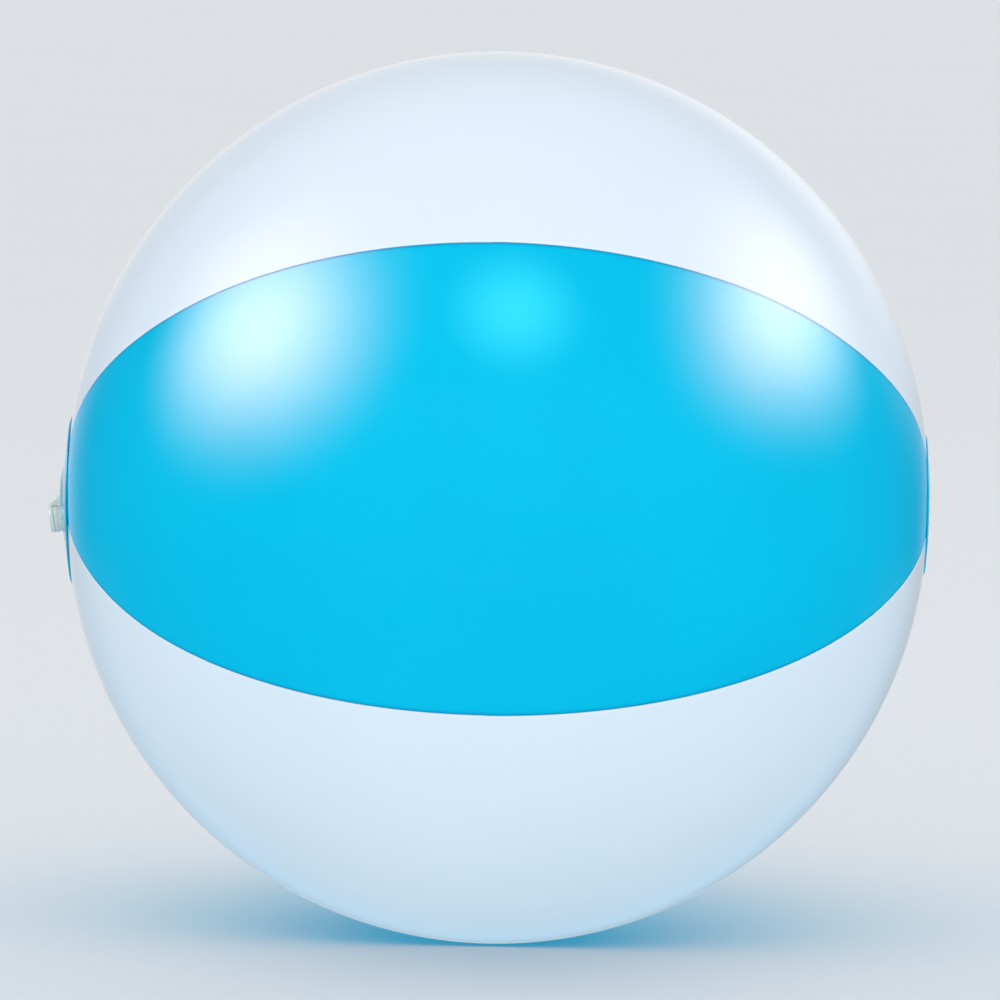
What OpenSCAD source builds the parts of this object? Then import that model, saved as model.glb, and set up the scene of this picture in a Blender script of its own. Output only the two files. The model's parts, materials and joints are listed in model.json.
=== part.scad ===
// Inflatable beach ball of six welded film panels, with a disc on each end and a push-in valve.
// X runs along the pole axis with the valve at -X, Z is up, and the origin is the middle of the
// small flat that the ball rests on.

/* [Ball] */
// Largest diameter, across the middles of the panels
ball_d = 300; // [240:1:400]
// How far each panel's own centre lies off the pole axis, which makes the panels bulge
gore_shift = 6; // [3:0.5:9]
// How far the front panel is turned up from level, in degrees
front_turn = 9; // [8:0.5:14]
// Radius of the flat that the weight presses into the lowest panel
foot_r = 18; // [15.5:0.5:19]
// Thickness of the film
film_t = 0.3; // [0.2:0.05:0.5]
// Depth of the inward weld fin along each panel edge
fin_depth = 3; // [2:0.5:6]
// Gap left in the middle of a weld
weld_gap = 0.02; // [0.01:0.01:0.05]

/* [End discs] */
// Radius of the opening that the panel tips leave at the plain end
plain_tip_r = 17.5; // [12:0.5:26]
// Width of the ring where a disc is welded over the panel tips
disc_lap = 6; // [3:0.5:9]
// How far the air swells the valve's disc out past the panels' crown
disc_swell = 2.7; // [2:0.1:4]
// How far below the pole axis the valve's disc is welded on
disc_drop = 3; // [0:0.5:4]

/* [Valve] */
// How far below the pole axis the valve goes through its disc
valve_drop = 9; // [4:0.5:10]
// Radius of the flange welded under the valve's disc
flange_r = 12.5; // [12:0.5:15]
// Thickness of the flange
flange_t = 0.8; // [0.5:0.1:1.2]
// Space between the flange and the panel tips around it
flange_room = 1; // [0.5:0.5:4]
// Radius of the open mouth around the valve stem
mouth_r = 9.5; // [9:0.25:11]
// How far the soft skirt leads inwards while the valve is pushed in
skirt_depth = 7.5; // [6.5:0.25:10]
// Height of the skirt's wall, measured along the valve
skirt_rim = 1.2; // [0.8:0.1:1.6]
// How far the skirt's edge lies below the disc's inner face
skirt_sink = 0.3; // [0.2:0.05:0.6]
// Outer radius of the stem
stem_r = 4.3; // [4:0.1:4.8]
// Outer radius of the lip around the stem's tip
lip_r = 4.6; // [4.3:0.1:5.2]
// Height of that lip
lip_t = 1.1; // [0.8:0.1:1.5]
// How far the stem stands proud of the disc's inner face
stem_out = 2.6; // [2:0.1:4]
// Length of stem inside the skirt
stem_tail = 1.6; // [1.4:0.1:4]
// Radius of the air bore
bore_r = 2.8; // [2.2:0.1:3.2]

/* [Stopper] */
// Thickness of the stopper's head
head_t = 1.5; // [1:0.1:2.5]
// Chamfer around the head
head_bevel = 0.35; // [0.2:0.05:0.5]
// Length of the shank in the bore
shank_l = 5; // [3.5:0.25:7]
// Width of the strap
strap_w = 3.2; // [2:0.1:4]
// Thickness of the strap
strap_t = 1.1; // [0.8:0.1:1.3]
// Space between the strap's bend and the mouth
strap_room = 1; // [0.6:0.1:1.4]
// Depth at which the strap joins the stem
strap_root = 3.6; // [2.5:0.1:4.5]

/* [Check flap] */
// Thickness of the flap over the stem's inner end
flap_t = 0.5; // [0.3:0.1:0.8]
// How far the flap laps over the edge of the bore
flap_lap = 0.9; // [0.6:0.1:1]
// Width of the flap's hinge tab
flap_tab = 3; // [2:0.25:4]

/* [Fits] */
// Radial clearance of the shank in the bore and of the stem in the skirt
fit_gap = 0.05; // [0.02:0.01:0.1]
// Gap under the stopper's head, at its rim and over the flap
seat_gap = 0.1; // [0.05:0.05:0.2]

/* [Hidden] */
$fn = 96;
gore_count = 6;
gore_angle = 360 / gore_count;
gore_half = gore_angle / 2;
gore_r = ball_d / 2 - gore_shift;
// the lowest panel, counted up and over from the front one, and the direction of its middle
foot_gore = 4;
foot_dir = front_turn + foot_gore * gore_angle;
foot_sag = gore_r - sqrt(gore_r * gore_r - foot_r * foot_r);
centre_y = gore_shift * cos(foot_dir);
centre_z = gore_r - gore_shift * sin(foot_dir) - foot_sag;
valve_tip_r = valve_drop + flange_r + flange_room;
valve_disc_r = valve_tip_r + disc_lap;
plain_disc_r = plain_tip_r + disc_lap;
// play between a disc and the panels under it, with the panels' own rise across the weld ring
disc_gap = weld_gap + disc_lap * disc_lap / (8 * gore_r);
// the swelled middle of the valve's disc: its rise over the weld ring, radius and centre
dome_rise = gore_r + disc_swell - cap_height(valve_tip_r, valve_disc_r, disc_gap, valve_tip_r);
dome_r = (valve_tip_r * valve_tip_r + dome_rise * dome_rise) / (2 * dome_rise);
dome_mid = gore_r + disc_swell - dome_r;
// how far the valve leans down to stand square on the swelled disc
valve_lean = asin(valve_drop / dome_r);
stem_end = skirt_depth + skirt_rim + skirt_sink + stem_tail;
head_low = stem_out + seat_gap;
head_mid = head_low + head_t / 2;
head_top = head_low + head_t;
shank_r = bore_r - fit_gap;
flap_r = bore_r + flap_lap;
strap_reach = mouth_r - strap_room;
bend_r = strap_reach - strap_t / 2;
bend_s = (head_mid - strap_root) / 2;
white = [0.9, 0.94, 0.97];
cyan = [0.02, 0.72, 0.9];
clear = [0.8, 0.88, 0.92];

// puts the ball's centre over the middle of the flat
module at_centre() {
    translate([0, centre_y, centre_z])
        children();
}

// turns a shape that faces -Y to the middle of panel k
module at_gore(k) {
    rotate([-front_turn - k * gore_angle, 0, 0])
        children();
}

// the space between the two seam planes of a panel that faces -Y, each drawn back by inset
module wedge(inset) {
    tip = inset / sin(gore_half);
    rise = (ball_d - tip) * tan(gore_half);
    rotate([90, 0, 90])
        linear_extrude(height = 2 * ball_d, center = true)
            polygon([[-tip, 0], [-ball_d, rise], [-ball_d, -rise]]);
}

// the sphere that a panel facing -Y is a part of
module gore_ball(r) {
    translate([0, -gore_shift, 0])
        rotate([0, 90, 0])
            sphere(r);
}

// everything above the floor, raised by inset
module above_floor(inset) {
    translate([-ball_d, -ball_d, inset - centre_z])
        cube([2 * ball_d, 2 * ball_d, 2 * ball_d]);
}

// one panel's sphere drawn in by inset, cut flat by the floor
module lobe(k, inset) {
    intersection() {
        at_gore(k)
            gore_ball(gore_r - inset);
        above_floor(inset);
    }
}

// rod along the pole axis, to -X for side -1 and to +X for side 1
module pole_rod(r, side) {
    rotate([0, side * 90, 0])
        cylinder(h = ball_d, r = r);
}

// one panel: its film, and a fin turned inwards along each seam
module panel(k) {
    at_centre()
        difference() {
            intersection() {
                lobe(k, 0);
                at_gore(k)
                    wedge(weld_gap / 2);
            }
            intersection() {
                lobe(k, film_t);
                at_gore(k)
                    wedge(weld_gap / 2 + film_t);
            }
            lobe(k, fin_depth);
            pole_rod(valve_tip_r, -1);
            pole_rod(plain_tip_r, 1);
        }
}

// height of a panel's middle line along the pole axis, at distance r from that axis
function crown(r) = sqrt(gore_r * gore_r - (r - gore_shift) * (r - gore_shift));

// centre on the pole axis, and radius, of the round cap that rests on the panels from tip to rim
function cap_mid(tip, rim) =
    (tip * tip + crown(tip) * crown(tip) - rim * rim - crown(rim) * crown(rim))
    / (2 * (crown(tip) - crown(rim)));
function cap_r(tip, rim) =
    sqrt(tip * tip + (crown(tip) - cap_mid(tip, rim)) * (crown(tip) - cap_mid(tip, rim)));

// height of that cap, raised by lift, at distance r from the pole axis
function cap_height(tip, rim, lift, r) =
    cap_mid(tip, rim) + sqrt((cap_r(tip, rim) + lift) * (cap_r(tip, rim) + lift) - r * r);

// round cap of thickness t over the panel tips of one end, raised by lift, its rim let down by drop
module cap(tip, rim, lift, t, side, drop) {
    r = cap_r(tip, rim) + lift;
    intersection() {
        translate([side * cap_mid(tip, rim), 0, 0])
            difference() {
                sphere(r + t);
                sphere(r);
            }
        translate([0, 0, -drop])
            pole_rod(rim, side);
    }
}

// swelled middle of the valve's disc: a shell of thickness t, raised by lift, over the tips' opening
module dome(lift, t) {
    translate([-dome_mid, 0, 0])
        intersection() {
            difference() {
                sphere(dome_r + lift + t);
                sphere(dome_r + lift);
            }
            pole_rod(valve_tip_r, -1);
        }
}

// valve frame: local Z points out of the ball along the valve, with 0 at the disc's inner face
module at_valve() {
    at_centre()
        translate([-dome_mid, 0, 0])
            rotate([0, -90 - valve_lean, 0])
                translate([0, 0, dome_r])
                    children();
}

// straight hole of radius r along the valve
module valve_hole(r) {
    at_valve()
        translate([0, 0, -dome_r])
            cylinder(h = 2 * dome_r, r = r);
}

module front_panel() {
    color(cyan)
        panel(0);
}

module upper_front_panel() {
    color(white)
        panel(1);
}

module upper_back_panel() {
    color(cyan)
        panel(2);
}

module back_panel() {
    color(white)
        panel(3);
}

module lower_back_panel() {
    color(cyan)
        panel(foot_gore);
}

module lower_front_panel() {
    color(white)
        panel(5);
}

// disc over the panel tips around the valve: a weld ring and a swelled middle with the valve's mouth
module valve_end_disc() {
    color(cyan)
        difference() {
            at_centre()
                union() {
                    dome(0, film_t);
                    difference() {
                        cap(valve_tip_r, valve_disc_r, disc_gap, film_t, -1, disc_drop);
                        pole_rod(valve_tip_r - film_t, -1);
                    }
                }
            valve_hole(mouth_r);
        }
}

module plain_end_disc() {
    color(cyan)
        at_centre()
            cap(plain_tip_r, plain_disc_r, disc_gap, film_t, 1, 0);
}

// ring welded to the underside of the disc
module valve_flange() {
    color(clear)
        difference() {
            intersection() {
                at_centre()
                    dome(-weld_gap - flange_t, flange_t);
                valve_hole(flange_r);
            }
            valve_hole(mouth_r);
        }
}

// soft funnel between the flange and the stem, led inwards while the valve is pushed in
module valve_skirt() {
    rim = mouth_r - weld_gap;
    hole = stem_r + fit_gap;
    top = -skirt_sink;
    low = top - skirt_depth;
    color(clear)
        at_valve()
            rotate_extrude()
                polygon([
                    [rim, top], [hole, low],
                    [hole, low - skirt_rim], [rim, top - skirt_rim]
                ]);
}

// tube with a lip at its tip and the air bore through it
module valve_stem() {
    color(clear)
        at_valve()
            difference() {
                union() {
                    translate([0, 0, -stem_end])
                        cylinder(h = stem_end + stem_out, r = stem_r);
                    translate([0, 0, stem_out - lip_t])
                        cylinder(h = lip_t, r = lip_r);
                }
                translate([0, 0, -2 * stem_end])
                    cylinder(h = 4 * stem_end, r = bore_r);
            }
}

// plug with a bevelled head over the stem's lip
module stopper() {
    color(clear)
        at_valve()
            rotate_extrude()
                polygon([
                    [0, head_low - shank_l], [shank_r - head_bevel, head_low - shank_l],
                    [shank_r, head_low - shank_l + head_bevel], [shank_r, head_low],
                    [lip_r, head_low], [lip_r, head_top - head_bevel],
                    [lip_r - head_bevel, head_top], [0, head_top]
                ]);
}

// one straight leg of the strap in its own plane, from the bend to radius x and height y
module strap_leg(x, y) {
    run = bend_r - x;
    rise = y - bend_s;
    translate([bend_r, bend_s])
        rotate(atan2(rise, -run))
            translate([0, -strap_t / 2])
                square([sqrt(run * run + rise * rise), strap_t]);
}

// bent strap above the stem, from the rim of the stopper's head back to the stem's side
module stopper_strap() {
    color(clear)
        at_valve()
            difference() {
                rotate([90, 0, 0])
                    linear_extrude(height = strap_w, center = true)
                        union() {
                            strap_leg(lip_r - strap_t, head_mid);
                            strap_leg(stem_r - strap_t, -strap_root);
                            translate([bend_r, bend_s])
                                circle(strap_t / 2);
                        }
                translate([0, 0, stem_out - lip_t - seat_gap])
                    cylinder(h = 4 * stem_out, r = lip_r + seat_gap);
                translate([0, 0, -stem_end])
                    cylinder(h = 2 * stem_end, r = stem_r + weld_gap);
            }
}

// thin flap over the stem's inner end, hinged at its upper edge
module check_flap() {
    color(clear)
        at_valve()
            translate([0, 0, -stem_end - seat_gap - flap_t])
                union() {
                    cylinder(h = flap_t, r = flap_r);
                    translate([0, -flap_tab / 2, 0])
                        cube([stem_r, flap_tab, flap_t]);
                }
}

front_panel();
upper_front_panel();
upper_back_panel();
back_panel();
lower_back_panel();
lower_front_panel();
valve_end_disc();
plain_end_disc();
valve_flange();
valve_skirt();
valve_stem();
stopper();
stopper_strap();
check_flap();
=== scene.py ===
import json
import math

import bmesh
import bpy
import numpy as np
from mathutils import Matrix, Vector


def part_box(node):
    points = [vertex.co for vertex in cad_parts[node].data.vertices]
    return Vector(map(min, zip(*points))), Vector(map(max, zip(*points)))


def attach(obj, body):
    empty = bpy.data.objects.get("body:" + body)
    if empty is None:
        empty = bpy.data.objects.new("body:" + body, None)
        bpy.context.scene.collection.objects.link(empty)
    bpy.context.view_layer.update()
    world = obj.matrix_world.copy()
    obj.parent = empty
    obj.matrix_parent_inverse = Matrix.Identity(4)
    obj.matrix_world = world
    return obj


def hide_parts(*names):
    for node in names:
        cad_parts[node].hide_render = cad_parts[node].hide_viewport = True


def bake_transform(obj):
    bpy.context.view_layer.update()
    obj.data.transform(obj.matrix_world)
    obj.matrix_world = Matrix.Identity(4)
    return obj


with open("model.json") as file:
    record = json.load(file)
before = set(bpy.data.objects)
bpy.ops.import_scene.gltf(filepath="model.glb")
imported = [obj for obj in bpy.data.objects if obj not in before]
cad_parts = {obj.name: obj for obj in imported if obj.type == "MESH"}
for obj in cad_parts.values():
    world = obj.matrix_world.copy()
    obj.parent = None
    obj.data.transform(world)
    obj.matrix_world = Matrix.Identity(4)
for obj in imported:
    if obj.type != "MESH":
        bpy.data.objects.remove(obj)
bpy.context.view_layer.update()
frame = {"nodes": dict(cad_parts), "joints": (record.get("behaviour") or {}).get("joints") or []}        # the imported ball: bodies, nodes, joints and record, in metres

# the ball as a whole: each panel is part of a sphere whose centre lies off the pole axis,
# towards that panel
ball = {
    "goreRadius": 0.144,
    "goreShift": 0.006,
    "goreHalf": math.radians(30),
    "frontTurn": math.radians(9),    # the front panel's middle, up from level
    "film": 0.0003,
    "valveTip": 0.0225,              # the panels end at this distance from the pole axis, valve end
    "plainTip": 0.0175,              # and at this one, plain end
    "discLap": 0.006,                # weld ring of an end disc over the panel tips
    "discGap": 0.00005,
    "discSwell": 0.0027,             # the valve's disc stands this far past the panels' crown
    "discDrop": 0.003,               # its rim lies this far below the pole axis
    "valveDrop": 0.009,              # and the valve's mouth this far
    "joinReach": 1e-7,               # points closer than this are one
}
plainLow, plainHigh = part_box("plain_end_disc")
ballCentre = np.array([0.0, (plainLow.y + plainHigh.y) / 2, (plainLow.z + plainHigh.z) / 2])


def srgb(red, green, blue):
    # screen values from 0 to 255 as linear light
    c = np.array([red, green, blue]) / 255
    return (*np.where(c > 0.04045, ((c + 0.055) / 1.055) ** 2.4, c / 12.92), 1.0)


def smoothMax(a, b, reach):
    # the larger of two surfaces, with a round fillet where they cross
    gap = np.clip(0.5 + (a - b) / (2 * reach), 0, 1)
    return b + (a - b) * gap + reach * gap * (1 - gap)


def gridQuads(rows, cols, closed):
    # corner numbers of a grid's quads; closed joins the last column to the first
    i, j = np.meshgrid(np.arange(rows - 1), np.arange(cols if closed else cols - 1), indexing="ij")
    after = (j + 1) % cols
    corners = [i * cols + j, (i + 1) * cols + j, (i + 1) * cols + after, i * cols + after]
    return np.stack(corners, -1).reshape(-1, 4)


def joinPoints(mesh, turnOut):
    # closes poles and seams by joining points that coincide; turnOut also turns the faces outwards
    work = bmesh.new()
    work.from_mesh(mesh)
    bmesh.ops.remove_doubles(work, verts=work.verts, dist=ball["joinReach"])
    if turnOut:
        bmesh.ops.recalc_face_normals(work, faces=work.faces)
    work.to_mesh(mesh)
    work.free()


def makePiece(name, points, material, closed=False, solid=False, **marks):
    # a grid of points, rows x cols x 3, as a smooth mesh; marks are values on its points that
    # materials read
    rows, cols = points.shape[:2]
    mesh = bpy.data.meshes.new(name)
    mesh.from_pydata(points.reshape(-1, 3).tolist(), [], gridQuads(rows, cols, closed).tolist())
    for mark, values in marks.items():
        layer = mesh.attributes.new(mark, "FLOAT", "POINT")
        layer.data.foreach_set("value", np.broadcast_to(values, (rows, cols)).ravel().astype(np.float32))
    if solid:
        joinPoints(mesh, turnOut=True)
    mesh.shade_smooth()
    mesh.materials.append(material)
    piece = bpy.data.objects.new(name, mesh)
    bpy.context.scene.collection.objects.link(piece)
    return piece


def giveThickness(piece, thickness):
    wall = piece.modifiers.new("film", "SOLIDIFY")
    wall.thickness = thickness
    wall.offset = -1                 # inwards, so the outer face stays where it was computed
    wall.use_even_offset = True


# materials

def newMaterial(name):
    material = bpy.data.materials.new(name)
    material.use_nodes = True
    tree = material.node_tree
    return material, tree, tree.nodes["Principled BSDF"]


def addNode(tree, kind, **settings):
    node = tree.nodes.new(kind)
    for key, value in settings.items():
        setattr(node, key, value)
    return node


def noiseNode(tree, scale, detail, stretch=(1, 1, 1)):
    # noise on the piece's own coordinates, drawn out along an axis where stretch is below 1
    place = addNode(tree, "ShaderNodeTexCoord")
    mapping = addNode(tree, "ShaderNodeMapping")
    mapping.inputs["Scale"].default_value = stretch
    noise = addNode(tree, "ShaderNodeTexNoise")
    noise.inputs["Scale"].default_value = scale
    noise.inputs["Detail"].default_value = detail
    tree.links.new(place.outputs["Object"], mapping.inputs["Vector"])
    tree.links.new(mapping.outputs["Vector"], noise.inputs["Vector"])
    return noise.outputs["Fac"]


def rangeNode(tree, source, low, high, toLow, toHigh, ease="LINEAR"):
    node = addNode(tree, "ShaderNodeMapRange", interpolation_type=ease)
    for key, value in (("From Min", low), ("From Max", high), ("To Min", toLow), ("To Max", toHigh)):
        node.inputs[key].default_value = value
    tree.links.new(source, node.inputs["Value"])
    return node.outputs["Result"]


def feed(tree, socket, value):
    # a link where the value comes out of a node, or else the value itself
    if isinstance(value, bpy.types.NodeSocket):
        tree.links.new(value, socket)
    else:
        socket.default_value = value


def mixColours(tree, share, first, second):
    node = addNode(tree, "ShaderNodeMix", data_type="RGBA")
    feed(tree, node.inputs["Factor"], share)
    feed(tree, node.inputs["A"], first)
    feed(tree, node.inputs["B"], second)
    return node.outputs["Result"]


def mathNode(tree, operation, *values):
    node = addNode(tree, "ShaderNodeMath", operation=operation)
    for socket, value in zip(node.inputs, values):
        feed(tree, socket, value)
    return node.outputs["Value"]


def filmMaterial(name, look):
    # blown vinyl film: cloudy tint, faint draw lines along the panel, and painted shading along the
    # welds and cut edges: painted shade on the cyan film, a painted light halo on the white film
    material, tree, skin = newMaterial(name)
    cloud = rangeNode(tree, noiseNode(tree, look["cloudScale"], 3), 0.35, 0.65, 0, 1)
    tint = mixColours(tree, cloud, look["tint"], look["cloudTint"])
    seam = addNode(tree, "ShaderNodeAttribute", attribute_name="seam")
    # painted shading: the seam mask mixes in each film's painted weld colour, shade on cyan and a halo on
    # white
    tint = mixColours(tree, seam.outputs["Fac"], tint, look["seamTint"])
    tree.links.new(tint, skin.inputs["Base Color"])
    streaks = noiseNode(tree, look["streakScale"], 2, (0.15, 1, 1))
    tree.links.new(rangeNode(tree, streaks, 0.3, 0.7, *look["roughness"]), skin.inputs["Roughness"])
    waves = addNode(tree, "ShaderNodeBump")
    waves.inputs["Strength"].default_value = look["waveStrength"]
    waves.inputs["Distance"].default_value = look["waveDepth"]
    tree.links.new(noiseNode(tree, look["waveScale"], 1), waves.inputs["Height"])
    tree.links.new(waves.outputs["Normal"], skin.inputs["Normal"])
    skin.inputs["IOR"].default_value = look["ior"]
    skin.inputs["Specular IOR Level"].default_value = look["gloss"]
    skin.inputs["Specular Tint"].default_value = look["glossTint"]
    skin.inputs["Coat Weight"].default_value = look["coat"]
    skin.inputs["Coat Roughness"].default_value = look["coatRoughness"]
    skin.inputs["Sheen Weight"].default_value = look["bloom"]
    skin.inputs["Sheen Roughness"].default_value = look["bloomRoughness"]
    skin.inputs["Sheen Tint"].default_value = look["bloomTint"]
    return material


filmLook = {                         # what all the films share
    "cloudScale": 12,
    "streakScale": 60,
    "roughness": (0.06, 0.08),
    "waveScale": 45,
    "waveStrength": 0.05,
    "waveDepth": 0.0008,
    "ior": 1.53,
    "glossTint": (1.0, 0.6, 0.35, 1.0),         # warm, so that a highlight washes the cyan out to white
    "coat": 0,
    "coatRoughness": 0.05,
    "bloomRoughness": 0.4,
}
cyanLook = {
    **filmLook,
    "tint": srgb(0, 200, 241),
    "cloudTint": srgb(0, 195, 237),
    # painted shade of the weld's groove and of the discs' cut edges
    "seamTint": srgb(0, 142, 196),
    "gloss": 0.5,
    "bloom": 0.6,                    # light scattered in the film, which shows at its limb
    "bloomTint": (0.0, 0.58, 1.0, 1.0),
}
discLook = {                         # the valve's disc is thicker and shinier
    **cyanLook,
    "coat": 0.4,
    "bloom": 0,
}
whiteLook = {
    **filmLook,
    "tint": srgb(229, 240, 251),
    "cloudTint": srgb(226, 238, 250),
    # painted light: a lighter halo beside the weld
    "seamTint": srgb(233, 243, 252),
    "gloss": 0.10,
    "bloom": 0,
    "bloomTint": (1.0, 1.0, 1.0, 1.0),
}
cyanFilm = filmMaterial("cyanFilm", cyanLook)
discFilm = filmMaterial("discFilm", discLook)
whiteFilm = filmMaterial("whiteFilm", whiteLook)


def vinylMaterial(name, look):
    # clear soft vinyl: a slightly milky tint and a surface that the mould left uneven
    material, tree, skin = newMaterial(name)
    milk = rangeNode(tree, noiseNode(tree, look["milkScale"], 3), 0.35, 0.65, 0, 1)
    tree.links.new(mixColours(tree, milk, look["tint"], look["milkTint"]), skin.inputs["Base Color"])
    wear = noiseNode(tree, look["wearScale"], 2)
    tree.links.new(rangeNode(tree, wear, 0.3, 0.7, *look["roughness"]), skin.inputs["Roughness"])
    ripple = addNode(tree, "ShaderNodeBump")
    ripple.inputs["Strength"].default_value = look["rippleStrength"]
    ripple.inputs["Distance"].default_value = look["rippleDepth"]
    tree.links.new(noiseNode(tree, look["rippleScale"], 2), ripple.inputs["Height"])
    tree.links.new(ripple.outputs["Normal"], skin.inputs["Normal"])
    skin.inputs["IOR"].default_value = look["ior"]
    skin.inputs["Transmission Weight"].default_value = look["clear"]
    return material


clearVinyl = vinylMaterial("clearVinyl", {
    "tint": srgb(228, 243, 243),
    "milkTint": srgb(244, 251, 250),
    "milkScale": 220,
    "wearScale": 400,
    "roughness": (0.12, 0.24),
    "rippleScale": 500,
    "rippleStrength": 0.3,
    "rippleDepth": 0.0002,
    "ior": 1.53,
    "clear": 0.22,
})
print("materials:", [m.name for m in (cyanFilm, discFilm, whiteFilm, clearVinyl)])

# the six panels, counted from the front one up and over
panel = {
    "nodes": ["front_panel", "upper_front_panel", "upper_back_panel",
              "back_panel", "lower_back_panel", "lower_front_panel"],
    "rows": 150,
    "cols": 64,
    "weldGap": 0.00001,              # half of the gap in the middle of a weld
    "turnRadius": 0.0003,            # how round the film turns into the weld
    "turnSteps": 5,
    "besideSeam": (0.0002, 0.0005, 0.0012),     # extra columns beside a seam, from the end of that turn
    "finDepth": 0.003,
    "finSteps": 3,
    "seamWidth": 0.0008,             # reach of the painted shading beside a seam
    "unevenDepth": 0.00007,
    "puckerDepth": 0.000012,
    "puckerLength": 0.009,
    "puckerReach": 0.006,
    "floorFillet": 0.0004,
    # towards its valve end and its plain end, the front panel drifts up and is cut blunter
    "endDrift": (math.radians(5.9), math.radians(4.5)),
    "driftReach": 0.0625,
    "endBlunt": (0.0, 0.14),
    "bluntReach": 0.05,
}


def edgeProfile(spec):
    # from the foot of the weld fin up and round onto the panel: distance from the seam plane, and depth
    turn = np.linspace(0, math.pi / 2, spec["turnSteps"])
    radius = spec["turnRadius"]
    fin = np.linspace(spec["finDepth"], radius, spec["finSteps"], endpoint=False)
    beside = radius + np.array(spec["besideSeam"])
    across = np.concatenate([np.zeros_like(fin), radius * (1 - np.cos(turn)), beside]) + spec["weldGap"]
    depth = np.concatenate([fin, radius * (1 - np.sin(turn)), np.zeros_like(beside)])
    return across, depth


def panelSurface(number, spec):
    # rows run along the pole axis by the angle t, columns across the panel by the angle beta from
    # its middle. The plane at beta cuts the panel's sphere in a circle of radius b about a point
    # goreShift*cos(beta) off the axis, so x = (b - depth)*sin(t), and the distance from the axis is
    # that offset + (b - depth)*cos(t)
    shift, radius, half = ball["goreShift"], ball["goreRadius"], ball["goreHalf"]
    edgeAcross, edgeDepth = edgeProfile(spec)
    inner = np.linspace(-1, 1, spec["cols"])[1:-1]
    share = np.concatenate([np.full(len(edgeAcross), -1.0), inner, np.full(len(edgeAcross), 1.0)])
    across = np.concatenate([edgeAcross, np.full(len(inner), edgeAcross[-1]), edgeAcross[::-1]])
    depth = np.concatenate([edgeDepth, np.zeros(len(inner)), edgeDepth[::-1]])
    along = np.linspace(0, 1, spec["rows"])[:, None]

    def circle(beta):
        b = np.sqrt(radius ** 2 - (shift * np.sin(beta)) ** 2)
        valveEnd = np.arccos((ball["valveTip"] - shift * np.cos(beta)) / b)
        plainEnd = np.arccos((ball["plainTip"] - shift * np.cos(beta)) / b)
        return b, along * (valveEnd + plainEnd) - valveEnd

    b, t = circle(half)
    seamRadius = shift * math.cos(half) + b * np.cos(t)
    drift = np.where(t < 0, *spec["endDrift"]) * np.exp(-((seamRadius / spec["driftReach"]) ** 2))
    blunt = np.where(t < 0, *spec["endBlunt"]) / (1 + (seamRadius / spec["bluntReach"]) ** 4)
    beta = share * (half - across / seamRadius)
    b, t = circle(beta)
    seamDistance = seamRadius * (half - np.abs(beta))
    wave = np.cos(5 * t + 1.7 * number) * np.cos(4 * beta + 0.9 * number)
    wave += 0.5 * np.cos(11 * t - 7 * beta + number)
    uneven = spec["unevenDepth"] * wave * np.cos(math.pi / 2 * share) ** 2
    fade = np.exp(-((seamDistance / spec["puckerReach"]) ** 2))
    ripple = 2 * math.pi * radius * t / spec["puckerLength"] + 3 * np.sin(9 * t)
    pucker = spec["puckerDepth"] * fade * np.cos(ripple)
    lowered = b - depth - uneven - pucker * (depth == 0)
    offAxis = shift * np.cos(beta) + lowered * np.cos(t)
    # around is the angle from the front panel's middle; near is 1 on that panel and 0 past its
    # two neighbours
    around = (2 * half * number + beta + math.pi) % (2 * math.pi) - math.pi
    near = np.clip(1.5 - np.abs(around) / (2 * half), 0, 1)
    angle = ball["frontTurn"] + around + near * (drift + blunt * np.clip(around, -half, half))
    points = np.stack([lowered * np.sin(t), -offAxis * np.cos(angle), offAxis * np.sin(angle)], -1)
    points += ballCentre
    points[..., 2] = smoothMax(points[..., 2], np.zeros_like(points[..., 2]), spec["floorFillet"])
    # painted shading beside the weld, strongest at the seam itself
    seam = np.exp(-((seamDistance / spec["seamWidth"]) ** 2))
    return points, seam


def makePanels(spec):
    for number, node in enumerate(spec["nodes"]):
        points, seam = panelSurface(number, spec)
        film, slot = (cyanFilm, "cyan_film") if number % 2 == 0 else (whiteFilm, "white_film")
        piece = makePiece(node.replace("_panel", "_film"), points, film, seam=seam)
        giveThickness(piece, ball["film"])
        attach(piece, "shell")
        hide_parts(node)


makePanels(panel)
print("panels:", len(panel["nodes"]))

# round discs welded over the panel tips
disc = {
    "rows": 64,
    "cols": 192,
    "fillet": 0.0006,                # where the swelled middle runs into the weld ring
    "ribDepth": 0.00005,             # rings that the welding tool pressed into the lap
    "ribPitch": 0.0015,
    "rimLift": 0.0001,               # the loose outer edge stands off the panels
    "rimWidth": 0.0012,
    "rimRadius": 0.0003,
    "rimSink": 0.00012,              # the edge's foot is melted this far into the panels
    "puckers": 26,
    "puckerDepth": 0.00010,
    "puckerReach": 0.004,
    "edgeShadeReach": 0.0003,              # reach of the painted shade at the cut edge
    "edgeShade": 0.3,                # and how strong that painted shade is, on the edge itself
    "flatShare": (0.12, 0.5),        # on this stretch from mouth to rim the dome eases straight
}


def crown(r):
    # height of a panel's middle line along the pole axis, at distance r from that axis
    return np.sqrt(ball["goreRadius"] ** 2 - (r - ball["goreShift"]) ** 2)


def capSphere(tip):
    # centre on the pole axis and radius of the sphere through the panels' middle lines at both
    # edges of the lap
    rim = tip + ball["discLap"]
    centre = (tip ** 2 + crown(tip) ** 2 - rim ** 2 - crown(rim) ** 2) / (2 * (crown(tip) - crown(rim)))
    return centre, math.hypot(tip, crown(tip) - centre)


ringCentre, ringRadius = capSphere(ball["valveTip"])
ringTop = ringCentre + math.sqrt((ringRadius + ball["discGap"]) ** 2 - ball["valveTip"] ** 2)
domeRise = ball["goreRadius"] + ball["discSwell"] - ringTop
domeRadius = (ball["valveTip"] ** 2 + domeRise ** 2) / (2 * domeRise)
domeCentre = ball["goreRadius"] + ball["discSwell"] - domeRadius


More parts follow.
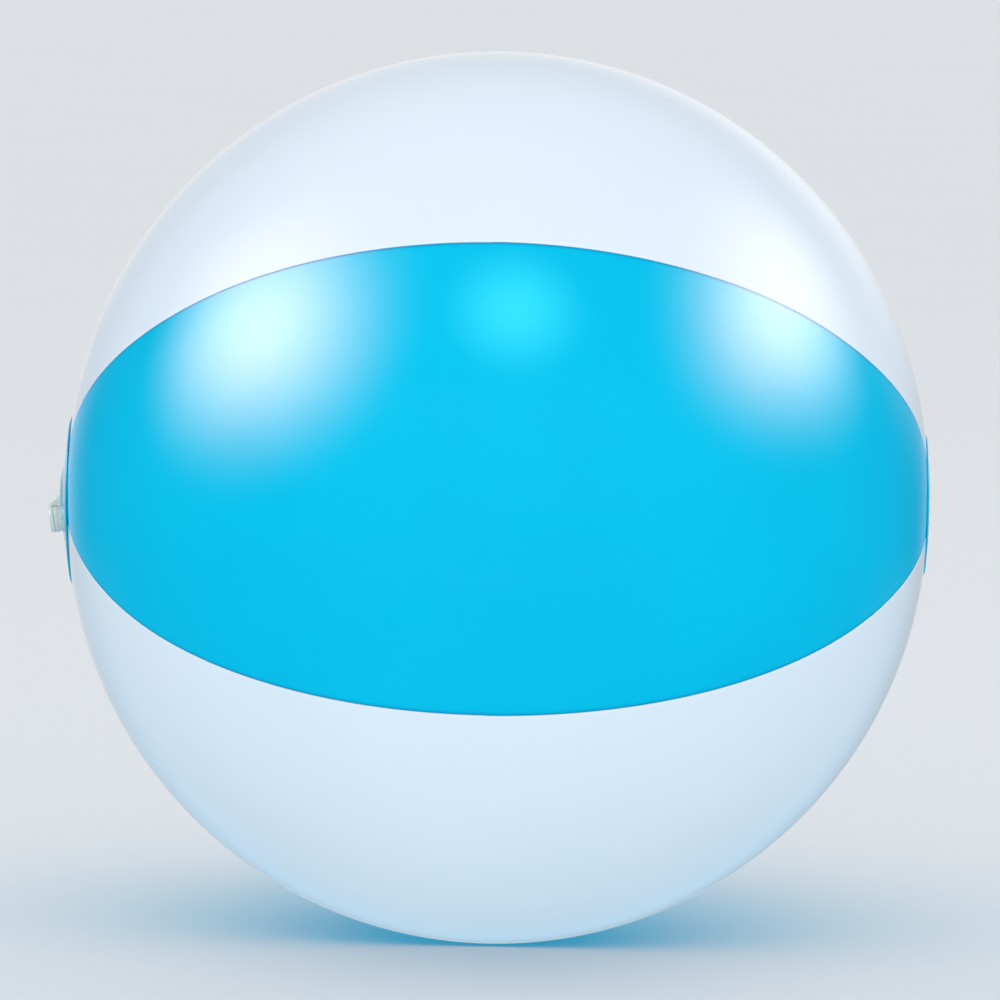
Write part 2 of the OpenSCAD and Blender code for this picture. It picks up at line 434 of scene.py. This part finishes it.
def ringHeight(r, tip):
    # outer face of a weld ring that rests on the panels
    centre, radius = capSphere(tip)
    return centre + np.sqrt((radius + ball["discGap"] + ball["film"]) ** 2 - r ** 2)


def domeHeight(r):
    # outer face of the swelled middle around the valve
    return domeCentre + np.sqrt((domeRadius + ball["film"]) ** 2 - r ** 2)


def weldRelief(r, edge, turn, tip, spec):
    # ribs pressed into the lap, puckers beside it and a rim that lifts off the panels, at distance r
    # from the pole axis and edge from the cut rim
    lap = np.clip((r - tip) / (r - tip + edge), 0, 1)
    ribs = spec["ribDepth"] * np.sin(math.pi * lap) ** 2 * np.cos(2 * math.pi * edge / spec["ribPitch"])
    beside = np.exp(-(((r - tip + spec["puckerReach"] / 2) / (spec["puckerReach"] / 2)) ** 2))
    puckers = spec["puckerDepth"] * beside * np.cos(spec["puckers"] * turn + 2 * np.sin(3 * turn))
    lift = spec["rimLift"] * np.clip(1 - edge / spec["rimWidth"], 0, 1) ** 2
    return ribs + puckers + lift


def rollEdge(points, seam, outwards, spec):
    # carries the outer row on around a small quarter turn, down into the panels
    turn = np.linspace(0, math.pi / 2, 5)[1:, None, None]
    down = np.array([1.0, 0, 0]) * -np.sign(points[-1, 0, 0])
    rolled = points[-1] + spec["rimRadius"] * (np.sin(turn) * outwards + (1 - np.cos(turn)) * down)
    foot = rolled[-1:] + (spec["rimLift"] + ball["discGap"] + spec["rimSink"]) * down
    points = np.concatenate([points, rolled, foot])
    # the rolled edge and its foot take painted shade at edgeShade, and the rest of the mask is scaled down
    # to it
    edgeRows = np.full((len(rolled) + 1, seam.shape[1]), spec["edgeShade"])
    return points, np.concatenate([seam * spec["edgeShade"], edgeRows])


def makePlainDisc(spec):
    # rows run out from the pole, columns around it
    rim = ball["plainTip"] + ball["discLap"] - spec["rimRadius"]
    r = rim * np.linspace(0, 1, spec["rows"])[:, None]
    turn = np.linspace(0, 2 * math.pi, spec["cols"], endpoint=False)
    edge = rim - r
    height = ringHeight(r, ball["plainTip"]) + weldRelief(r, edge, turn, ball["plainTip"], spec)
    points = np.stack([height, r * np.cos(turn), r * np.sin(turn)], -1)
    # painted shade along the cut rim
    seam = np.broadcast_to(np.exp(-((edge / spec["edgeShadeReach"]) ** 2)), height.shape)
    outwards = np.stack([0 * turn, np.cos(turn), np.sin(turn)], -1)
    points, seam = rollEdge(points, seam, outwards, spec)
    finishDisc("plain_disc", points + ballCentre, seam, cyanFilm, "plain_end_disc")


def makeValveDisc(spec):
    # rows run from the valve's mouth out to the rim, columns around both; the dome around the mouth
    # eases into straight lines down to the rim
    rim = ball["valveTip"] + ball["discLap"] - spec["rimRadius"]
    out = np.linspace(0, 1, spec["rows"])[:, None]
    turn = np.linspace(0, 2 * math.pi, spec["cols"], endpoint=False)
    y = (1 - out) * valve["mouth"] * np.sin(turn) + out * rim * np.sin(turn)
    z = (1 - out) * (valve["mouth"] * np.cos(turn) - ball["valveDrop"]) \
        + out * (rim * np.cos(turn) - ball["discDrop"])
    edge = rim - np.hypot(y, z + ball["discDrop"])
    r = np.hypot(y, z)
    flat = np.clip((out - spec["flatShare"][0]) / (spec["flatShare"][1] - spec["flatShare"][0]), 0, 1)
    flat = flat * flat * (3 - 2 * flat)
    slope = (1 - out) * domeHeight(r[:1]) + out * ringHeight(r[-1:], ball["valveTip"])
    swelled = (1 - flat) * domeHeight(r) + flat * slope
    height = smoothMax(swelled, ringHeight(r, ball["valveTip"]), spec["fillet"])
    height += weldRelief(r, edge, turn, ball["valveTip"], spec)
    points = np.stack([-height, y, z], -1)
    # painted shade along the cut rim
    seam = np.exp(-((edge / spec["edgeShadeReach"]) ** 2))
    outwards = np.stack([0 * turn, np.sin(turn), np.cos(turn)], -1)
    points, seam = rollEdge(points, seam, outwards, spec)
    finishDisc("valve_disc", points + ballCentre, seam, discFilm, "valve_end_disc")


def finishDisc(name, points, seam, film, node):
    piece = makePiece(name, points, film, closed=True, seam=seam)
    joinPoints(piece.data, turnOut=False)
    giveThickness(piece, ball["film"])
    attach(piece, "shell")
    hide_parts(node)


# the valve stands square on its disc; sizes along it are heights over the disc's inner face
valve = {
    "mouth": 0.0095,
    "skirtSink": 0.0003,
    "skirtDepth": 0.0075,
    "skirtWall": 0.0009,
    "skirtHole": 0.00435,
    "skirtGap": 0.00002,             # between the skirt's edge and the mouth
    "skirtEase": 0.25,               # share of a smooth step in its slope
    "skirtRows": 24,
    "stemRadius": 0.0043,
    "lipRadius": 0.0046,
    "lipHeight": 0.0011,
    "stemOut": 0.0026,
    "stemEnd": 0.0106,
    "bore": 0.0028,
    "seatGap": 0.0001,
    "headHeight": 0.0015,
    "headDish": 0.0004,
    "dishShare": (0.62, 0.5),        # of the head's radius, where the dish starts and where it is deep
    "shank": 0.005,
    "shankRadius": 0.00275,
    "strapWidth": 0.0032,
    "strapThick": (0.0011, 0.0026),  # at its ends and at its bend
    "strapReach": 0.0076,            # how far its bend stands off the stem's middle
    "strapRoot": 0.0036,
    "strapGap": 0.00003,             # between its root and the stem
    "strapSquare": 0.35,             # below 1 squares the section's corners
    "strapRows": 40,
    "strapCols": 32,
    "round": 0.00035,                # usual rounding of the moulded edges
    "cols": 96,
}
pull = next(joint for joint in frame["joints"] if joint["name"] == "valve_pull")
valveOut = np.array(pull["axis"], float) / np.linalg.norm(pull["axis"])
valveSide = np.array([0.0, 1.0, 0.0])
valveUp = np.cross(valveSide, valveOut)
valveBase = ballCentre + np.array([-domeCentre, 0, 0]) + domeRadius * valveOut


def valvePoint(height, up=0.0, side=0.0):
    # a place in the valve's own frame, as a point of the ball's
    return valveBase + np.multiply.outer(height, valveOut) + np.multiply.outer(up, valveUp) \
        + np.multiply.outer(side, valveSide)


def roundedOutline(corners, steps=6):
    # an outline of (radius, height, rounding) corners, each rounded one swapped for its arc
    corners = np.array(corners, float)
    place, rounding = corners[:, :2], corners[:, 2]
    pieces = []
    for before, here, after, size in zip(np.roll(place, 1, 0), place, np.roll(place, -1, 0), rounding):
        if size == 0:
            pieces.append(here[None])
            continue
        first, second = before - here, after - here
        first, second = first / np.linalg.norm(first), second / np.linalg.norm(second)
        half = np.arccos(np.clip(first @ second, -1, 1)) / 2
        middle = here + (first + second) / np.linalg.norm(first + second) * size / np.sin(half)
        start = here + first * size / np.tan(half) - middle
        stop = here + second * size / np.tan(half) - middle
        share = np.linspace(0, 1, steps)[:, None]
        sweep = math.pi - 2 * half
        arc = np.sin((1 - share) * sweep) * start + np.sin(share * sweep) * stop
        pieces.append(middle + arc / np.sin(sweep))
    return np.concatenate(pieces)


def revolve(name, outline, body, node):
    # an outline of (radius, height) turned about the valve
    turn = np.linspace(0, 2 * math.pi, valve["cols"], endpoint=False)
    r, height = outline[:, :1], np.broadcast_to(outline[:, 1:], (len(outline), len(turn)))
    points = valvePoint(height, r * np.cos(turn), r * np.sin(turn))
    piece = makePiece(name, points, clearVinyl, closed=True, solid=True)
    if body:
        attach(piece, body)
    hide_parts(node)
    return piece


def makeSkirt(spec):
    # closed wall of a funnel: its slope eases out of the mouth and into the stem by a smooth step
    fall = np.linspace(0, 1, spec["skirtRows"])
    ease = fall * fall * (3 - 2 * fall)
    rim = spec["mouth"] - spec["skirtGap"]
    r = rim - (rim - spec["skirtHole"]) * fall
    slope = (1 - spec["skirtEase"]) * fall + spec["skirtEase"] * ease
    top = -spec["skirtSink"] - spec["skirtDepth"] * slope
    under = top - spec["skirtWall"]
    outline = np.concatenate([np.stack([r, top], -1), np.stack([r, under], -1)[::-1]])
    piece = revolve("skirt", np.concatenate([outline, outline[:1]]), None, "valve_skirt")
    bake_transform(piece)


def makeStem(spec):
    # a tube with a lip around its tip
    edge = spec["round"]
    outline = roundedOutline([
        (spec["bore"], spec["stemOut"], edge / 2),
        (spec["lipRadius"], spec["stemOut"], edge),
        (spec["lipRadius"], spec["stemOut"] - spec["lipHeight"], edge),
        (spec["stemRadius"], spec["stemOut"] - spec["lipHeight"] - edge, edge / 4),
        (spec["stemRadius"], -spec["stemEnd"], edge),
        (spec["bore"], -spec["stemEnd"], edge),
    ])
    revolve("stem", np.concatenate([outline, outline[:1]]), "valve", "valve_stem")


def makeStopper(spec):
    # a shank that fills the bore, under a head with a shallow dish
    edge = spec["round"]
    low = spec["stemOut"] + spec["seatGap"]
    top = low + spec["headHeight"]
    foot = low - spec["shank"]
    outline = roundedOutline([
        (0, foot, 0),
        (spec["shankRadius"], foot, edge * 1.5),
        (spec["shankRadius"], low, edge / 4),
        (spec["lipRadius"], low, edge),
        (spec["lipRadius"], top, edge * 1.4),
        (spec["lipRadius"] * spec["dishShare"][0], top, edge),
        (spec["lipRadius"] * spec["dishShare"][1], top - spec["headDish"], edge),
        (0, top - spec["headDish"], 0),
    ])
    revolve("stopper_plug", outline, "stopper", "stopper")


def makeStrap(spec):
    # a band with a round-cornered section carried along a bent line from the stem to the rim of the head
    low = spec["stemOut"] + spec["seatGap"]
    start = np.array([spec["stemRadius"] + spec["strapGap"], -spec["strapRoot"]])
    stop = np.array([spec["lipRadius"] + spec["seatGap"], low + spec["headHeight"] / 2])
    thin, thick = spec["strapThick"]
    middle = np.array([spec["strapReach"] - thick / 2, (start[1] + stop[1]) / 2])
    bend = 2 * middle - (start + stop) / 2
    share = np.linspace(0, 1, spec["strapRows"])[:, None]
    path = (1 - share) ** 2 * start + 2 * share * (1 - share) * bend + share ** 2 * stop
    thickness = thin + (thick - thin) * np.sin(math.pi * share)
    along = np.gradient(path, axis=0)
    along /= np.linalg.norm(along, axis=1, keepdims=True)
    across = np.stack([along[:, 1], -along[:, 0]], -1)
    turn = np.linspace(0, 2 * math.pi, spec["strapCols"], endpoint=False)
    flat = spec["strapSquare"]
    side = spec["strapWidth"] / 2 * np.sign(np.cos(turn)) * np.abs(np.cos(turn)) ** flat
    lift = thickness / 2 * np.sign(np.sin(turn)) * np.abs(np.sin(turn)) ** flat
    place = path[:, None] + across[:, None] * lift[..., None]
    points = valvePoint(place[..., 1], place[..., 0], np.broadcast_to(side, place.shape[:2]))
    ends = [np.repeat(row.mean(0)[None], len(turn), 0)[None] for row in (points[0], points[-1])]
    points = np.concatenate([ends[0], points, ends[1]])
    piece = makePiece("strap", points, clearVinyl, closed=True, solid=True)
    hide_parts("stopper_strap")
    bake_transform(piece)


makePlainDisc(disc)
makeValveDisc(disc)
print("end discs: 2")
makeSkirt(valve)
makeStem(valve)
makeStopper(valve)
makeStrap(valve)
for node in ("valve_flange", "check_flap"):     # these two keep their solids
    mesh = frame["nodes"][node].data
    mesh.materials.clear()
    mesh.materials.append(clearVinyl)
print("valve: 4 pieces made, 2 solids kept")

# camera and light
shot = {
    "distance": 2.03,
    "azimuth": math.radians(1.0),
    "elevation": math.radians(6.3),
    "roll": math.radians(0.8),
    "lens": 217.6,
    "sensor": 36,
    "imageSize": 1000,
    "ballPixel": (497.5, 498),       # where the ball's centre lies in the picture
}


def placeCamera(spec):
    camera = bpy.data.objects.new("camera", bpy.data.cameras.new("camera"))
    bpy.context.scene.collection.objects.link(camera)
    bpy.context.scene.camera = camera
    azimuth, elevation = spec["azimuth"], spec["elevation"]
    level = math.cos(elevation)
    back = Vector((math.sin(azimuth) * level, -math.cos(azimuth) * level, math.sin(elevation)))
    turn = (-back).to_track_quat("-Z", "Y").to_matrix() @ Matrix.Rotation(spec["roll"], 3, "Z")
    camera.matrix_world = Matrix.Translation(Vector(ballCentre) + back * spec["distance"]) @ turn.to_4x4()
    camera.data.lens = spec["lens"]
    camera.data.sensor_width = spec["sensor"]
    camera.data.shift_x = 0.5 - spec["ballPixel"][0] / spec["imageSize"]
    camera.data.shift_y = spec["ballPixel"][1] / spec["imageSize"] - 0.5
    return turn


def softLight(name, turn, spec):
    # an oval scrim that fades from its middle to its rim, in a direction given as the camera sees it:
    # right, up, towards it
    light = bpy.data.lights.new(name, "AREA")
    light.shape = "ELLIPSE"
    light.size, light.size_y = spec["size"]
    light.energy = spec["power"]
    light.color = spec["tint"]
    light.use_nodes = True
    tree = light.node_tree
    emit = tree.nodes["Emission"]
    place = addNode(tree, "ShaderNodeNewGeometry")
    centred = addNode(tree, "ShaderNodeVectorMath", operation="SUBTRACT")
    centred.inputs[1].default_value = (0.5, 0.5, 0)
    length = addNode(tree, "ShaderNodeVectorMath", operation="LENGTH")
    tree.links.new(place.outputs["Parametric"], centred.inputs[0])
    tree.links.new(centred.outputs["Vector"], length.inputs[0])
    falloff = rangeNode(tree, length.outputs["Value"], 0, 0.5, 1, 0, "SMOOTHSTEP")
    tree.links.new(mathNode(tree, "POWER", falloff, spec["fade"]), emit.inputs["Strength"])
    lamp = bpy.data.objects.new(name, light)
    bpy.context.scene.collection.objects.link(lamp)
    direction = (turn @ Vector(spec["direction"])).normalized()
    lamp.location = Vector(ballCentre) + direction * spec["distance"]
    lamp.rotation_euler = direction.to_track_quat("Z", "Y").to_euler()
    lamp.visible_camera = False
    lamp.visible_diffuse = False     # the sky lights the ball, the scrims only shine on it


def makeWorld(spec):
    # soft light from all round, stronger from above, in front and behind, cooler from below as off
    # a floor. Reflections see a dim room with a pale backdrop and the cool floor in front of it, so
    # that the film keeps its own colour
    world = bpy.data.worlds.new("studio")
    bpy.context.scene.world = world
    world.use_nodes = True
    tree = world.node_tree
    sky = tree.nodes["Background"]
    place = addNode(tree, "ShaderNodeTexCoord")
    split = addNode(tree, "ShaderNodeSeparateXYZ")
    tree.links.new(place.outputs["Generated"], split.inputs["Vector"])
    height = rangeNode(tree, split.outputs["Z"], *spec["lowHigh"], 0, 1)
    lit = mixColours(tree, height, spec["below"], spec["above"])
    frontBack = mathNode(tree, "MULTIPLY", split.outputs["Y"], split.outputs["Y"])
    level = rangeNode(tree, frontBack, 0, 1, spec["sides"], spec["frontBack"])
    total = mathNode(tree, "MULTIPLY_ADD", split.outputs["Z"], spec["rise"], level)
    ray = addNode(tree, "ShaderNodeLightPath")
    strength = addNode(tree, "ShaderNodeMix", data_type="FLOAT")
    feed(tree, strength.inputs["Factor"], ray.outputs["Is Glossy Ray"])
    feed(tree, strength.inputs["A"], total)
    feed(tree, strength.inputs["B"], 1)
    towards = addNode(tree, "ShaderNodeVectorMath", operation="DOT_PRODUCT")
    tree.links.new(place.outputs["Generated"], towards.inputs[0])
    towards.inputs[1].default_value = Vector(spec["glowAt"]).normalized()
    glow = rangeNode(tree, towards.outputs["Value"], spec["glowEdge"], 1, 0, 1)
    glow = mathNode(tree, "POWER", glow, spec["glowFade"])
    backdrop = rangeNode(tree, glow, 0, 1, spec["mirrored"], spec["backdrop"])
    floorDown = rangeNode(tree, split.outputs["Z"], *spec["floorLow"], 0, 1)
    floorBehind = rangeNode(tree, split.outputs["Y"], *spec["floorBack"], 0, 1)
    floorShare = mathNode(tree, "MULTIPLY", floorDown, floorBehind)
    mirror = mixColours(tree, floorShare, backdrop, spec["floorGlow"])
    tree.links.new(mixColours(tree, ray.outputs["Is Glossy Ray"], lit, mirror), sky.inputs["Color"])
    tree.links.new(strength.outputs["Result"], sky.inputs["Strength"])


def makeFloor(spec):
    # a wide round plate, rows out from the middle and columns around it
    out = spec["radius"] * np.linspace(0, 1, spec["rows"])[:, None] ** 3
    turn = np.linspace(0, 2 * math.pi, spec["cols"], endpoint=False)
    points = np.stack([out * np.cos(turn), out * np.sin(turn), 0 * out * turn], -1)
    material, tree, skin = newMaterial("paleFloor")
    shade = rangeNode(tree, noiseNode(tree, spec["cloudScale"], 3), 0.3, 0.7, 0, 1)
    tree.links.new(mixColours(tree, shade, spec["colour"], spec["cloudColour"]), skin.inputs["Base Color"])
    skin.inputs["Roughness"].default_value = spec["roughness"]
    skin.inputs["Specular IOR Level"].default_value = spec["gloss"]
    floor = makePiece("floor", points, material, closed=True)
    floor.visible_diffuse = False    # the sky below stands for the light that the floor throws back
    floor.visible_glossy = False


cameraTurn = placeCamera(shot)
softLight("scrimLeft", cameraTurn, {
    "direction": (-0.79, 0.57, 0.235),
    "distance": 1.6,
    "size": (3.6, 2.8),
    "power": 350,
    "fade": 2.5,
    "tint": (1, 1, 1),
})
softLight("scrimRight", cameraTurn, {
    "direction": (0.83, 0.54, -0.02),
    "distance": 1.6,
    "size": (3.4, 2.1),
    "power": 205,
    "fade": 2.5,
    "tint": (1, 1, 1),
})
softLight("scrimTop", cameraTurn, {
    "direction": (0.07, 0.745, 0.67),
    "distance": 2.0,
    "size": (1.35, 1.5),
    "power": 38,
    "fade": 1,
    "tint": (0.1, 1, 1.2),
})
softLight("scrimBack", cameraTurn, {
    "direction": (0.44, 0.33, -0.84),
    "distance": 1.8,
    "size": (2.8, 1.8),
    "power": 10,
    "fade": 2.5,
    "tint": (1, 1, 1),
})
makeWorld({
    "above": (0.98, 0.99, 1.0, 1.0),
    "below": (0.73, 0.95, 1.05, 1.0),
    "lowHigh": (-0.9, 0),            # heights between which below turns into above
    "sides": 0.83,
    "frontBack": 1.31,
    "rise": 0.14,
    "mirrored": 0.04,                # the dim room that reflections see
    "backdrop": 0.85,
    "glowAt": (-0.08, 0.99, 0.0),
    "glowEdge": 0.72,
    "glowFade": 3,
    "floorGlow": (0.36, 0.70, 0.97, 1.0),
    "floorLow": (-0.15, -0.5),
    "floorBack": (0.45, 0.85),
})
makeFloor({
    "radius": 30,
    "rows": 24,
    "cols": 64,
    "cloudScale": 3,
    "colour": srgb(222, 225, 228),
    "cloudColour": srgb(221, 224, 227),
    "roughness": 0.8,
    "gloss": 0.1,
})
bpy.context.scene.view_settings.view_transform = "Standard"
print("camera, four scrims, sky and floor")
